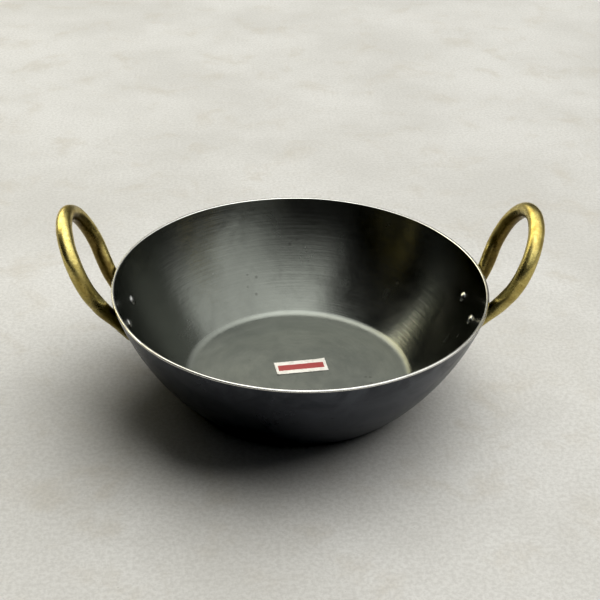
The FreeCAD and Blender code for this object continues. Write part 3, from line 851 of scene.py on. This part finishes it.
def make_floor_finish():
    """Plain pale ground, a little clouded, stained and gritty."""
    finish, tree, shader = new_finish("pale_floor")
    dim, pale, stained = (0.53, 0.525, 0.505), (0.60, 0.597, 0.58), (0.47, 0.44, 0.385)
    fine_grit, dark_grit = (0.33, 0.32, 0.30), (0.22, 0.21, 0.20)
    place = place_on_part(tree)
    cloud = noise_on(tree, place, 5.0, detail=6.0, roughness=0.6)
    stain = noise_on(tree, place, 19.0, detail=7.0, roughness=0.65, distortion=0.4)
    grit = noise_on(tree, place, 330.0, detail=5.0, roughness=0.75)
    colour = blend(tree, fade(tree, cloud, 0.35, 0.65), dim, pale)
    colour = blend(tree, fade(tree, stain, 0.5, 0.72, 0.0, 0.45), colour, stained)
    colour = blend(tree, fade(tree, grit, 0.38, 0.62, 0.3, 0.0), colour, fine_grit)
    colour = blend(tree, fade(tree, grit, 0.64, 0.71, 0.0, 0.6), colour, dark_grit)
    feed(tree, shader, Base_Color=colour, Normal=bumped(tree, grit, 0.25, 0.5 * MM))
    shader.inputs["Roughness"].default_value = 0.75
    return finish


def add_floor():
    """A wide plain floor."""
    reach = FLOOR_REACH
    corners = [(-reach, -reach, 0), (reach, -reach, 0), (reach, reach, 0), (-reach, reach, 0)]
    mesh = bpy.data.meshes.new("floor")
    mesh.from_pydata(corners, [], [(0, 1, 2, 3)])
    mesh.materials.append(make_floor_finish())
    floor = bpy.data.objects.new("floor", mesh)
    floor.location.z = -FLOOR_GAP
    bpy.context.scene.collection.objects.link(floor)


def add_dome():
    """What the pan mirrors: bright above, dark at the left, dim behind, a window and a warm lamp.

    It lights nothing matt, and the camera sees a pale surround in its place.
    """
    world = bpy.data.worlds.new("studio_dome")
    world.use_nodes = True
    tree = world.node_tree
    x, y, z = split(tree, node(tree, "ShaderNodeTexCoord").outputs["Generated"])
    level_squared = maths(tree, "SUBTRACT", 1.0, product(tree, z, z))
    level = maths(tree, "SQRT", maths(tree, "MAXIMUM", level_squared, 0.0001))

    def side(turn):
        """Cosine of the angle round the pan from this turn."""
        along_x = product(tree, x, math.cos(math.radians(turn)))
        along_y = product(tree, y, math.sin(math.radians(turn)))
        return maths(tree, "DIVIDE", total(tree, along_x, along_y), level)

    dark = product(tree, fade(tree, side(DARK_TURN), 0.669, 0.927), fade(tree, z, 0.68, 1.0, 0.93, 0.0))
    dim = product(tree, fade(tree, side(DIM_TURN), 0.6, 0.95), fade(tree, z, 0.3, 0.5),
                  fade(tree, z, 0.64, 0.82, 0.32, 0.0))
    sky = product(tree, fade(tree, z, 0.28, 0.88, 0.05, 1.95),
                  maths(tree, "SUBTRACT", 1.0, dark), maths(tree, "SUBTRACT", 1.0, dim))
    window = product(tree, fade(tree, side(WINDOW_TURN), 0.3, 1.0),
                     fade(tree, side(FRONT_TURN), -0.1, 0.12, 0.35, 1.0),
                     fade(tree, z, -0.03, 0.41), fade(tree, z, 0.32, 0.85, 1.22, 0.0))
    above = fade(tree, z, 0.82, 0.97, 0.0, 1.05)
    warm = product(tree, fade(tree, side(WARM_TURN), 0.79, 0.97), fade(tree, z, 0.06, 0.36),
                   fade(tree, z, 0.6, 0.9, 1.0, 0.1))
    glow = total(tree, sky, window, above, product(tree, warm, WARM_STRENGTH))

    background = tree.nodes["Background"]
    pale_light, warm_light = (0.985, 1.0, 0.975), (1.0, 0.94, 0.68)
    tree.links.new(blend(tree, warm, pale_light, warm_light), background.inputs["Color"])
    seen = node(tree, "ShaderNodeLightPath").outputs["Is Camera Ray"]
    strength = total(tree, product(tree, glow, maths(tree, "SUBTRACT", 1.0, seen)),
                     product(tree, seen, SURROUND_STRENGTH))
    tree.links.new(strength, background.inputs["Strength"])
    bpy.context.scene.world = world
    world.cycles_visibility.diffuse = False


def add_key():
    """The soft key light from high at the back right, which the metal doesn't mirror."""
    lamp = bpy.data.lights.new("key", "SUN")
    lamp.energy = KEY_STRENGTH
    lamp.angle = KEY_SPREAD
    lamp.color = (1.0, 0.99, 0.96)
    level = math.cos(KEY_RISE)
    away = Vector((level * math.cos(KEY_TURN), level * math.sin(KEY_TURN), math.sin(KEY_RISE)))
    key = bpy.data.objects.new("key", lamp)
    key.location = away * KEY_DISTANCE
    key.rotation_euler = away.to_track_quat("Z", "Y").to_euler()
    key.visible_glossy = False
    bpy.context.scene.collection.objects.link(key)


def set_view():
    """The photograph's contrast."""
    view = bpy.context.scene.view_settings
    view.view_transform = "Standard"
    view.gamma = VIEW_GAMMA
    view.use_curve_mapping = True
    view.curve_mapping.black_level = (VIEW_BLACK, VIEW_BLACK, VIEW_BLACK)
    view.curve_mapping.update()


def add_camera():
    """The camera at the photograph's place: a little left of the front, looking down."""
    lens = bpy.data.cameras.new("camera")
    lens.lens, lens.sensor_width = LENS, SENSOR
    level = math.cos(CAMERA_RISE)
    back = Vector((-level * math.sin(CAMERA_TURN), -level * math.cos(CAMERA_TURN), math.sin(CAMERA_RISE)))
    right = Vector((math.cos(CAMERA_TURN), -math.sin(CAMERA_TURN), 0))
    up = back.cross(right)
    roll = Matrix.Rotation(CAMERA_ROLL, 3, back)
    axes = Matrix((roll @ right, roll @ up, back)).transposed()
    camera = bpy.data.objects.new("camera", lens)
    camera.matrix_world = Matrix.Translation(CAMERA_AIM + back * CAMERA_DISTANCE) @ axes.to_4x4()
    bpy.context.scene.collection.objects.link(camera)
    bpy.context.scene.camera = camera


add_floor()
add_dome()
add_key()
set_view()
add_camera()
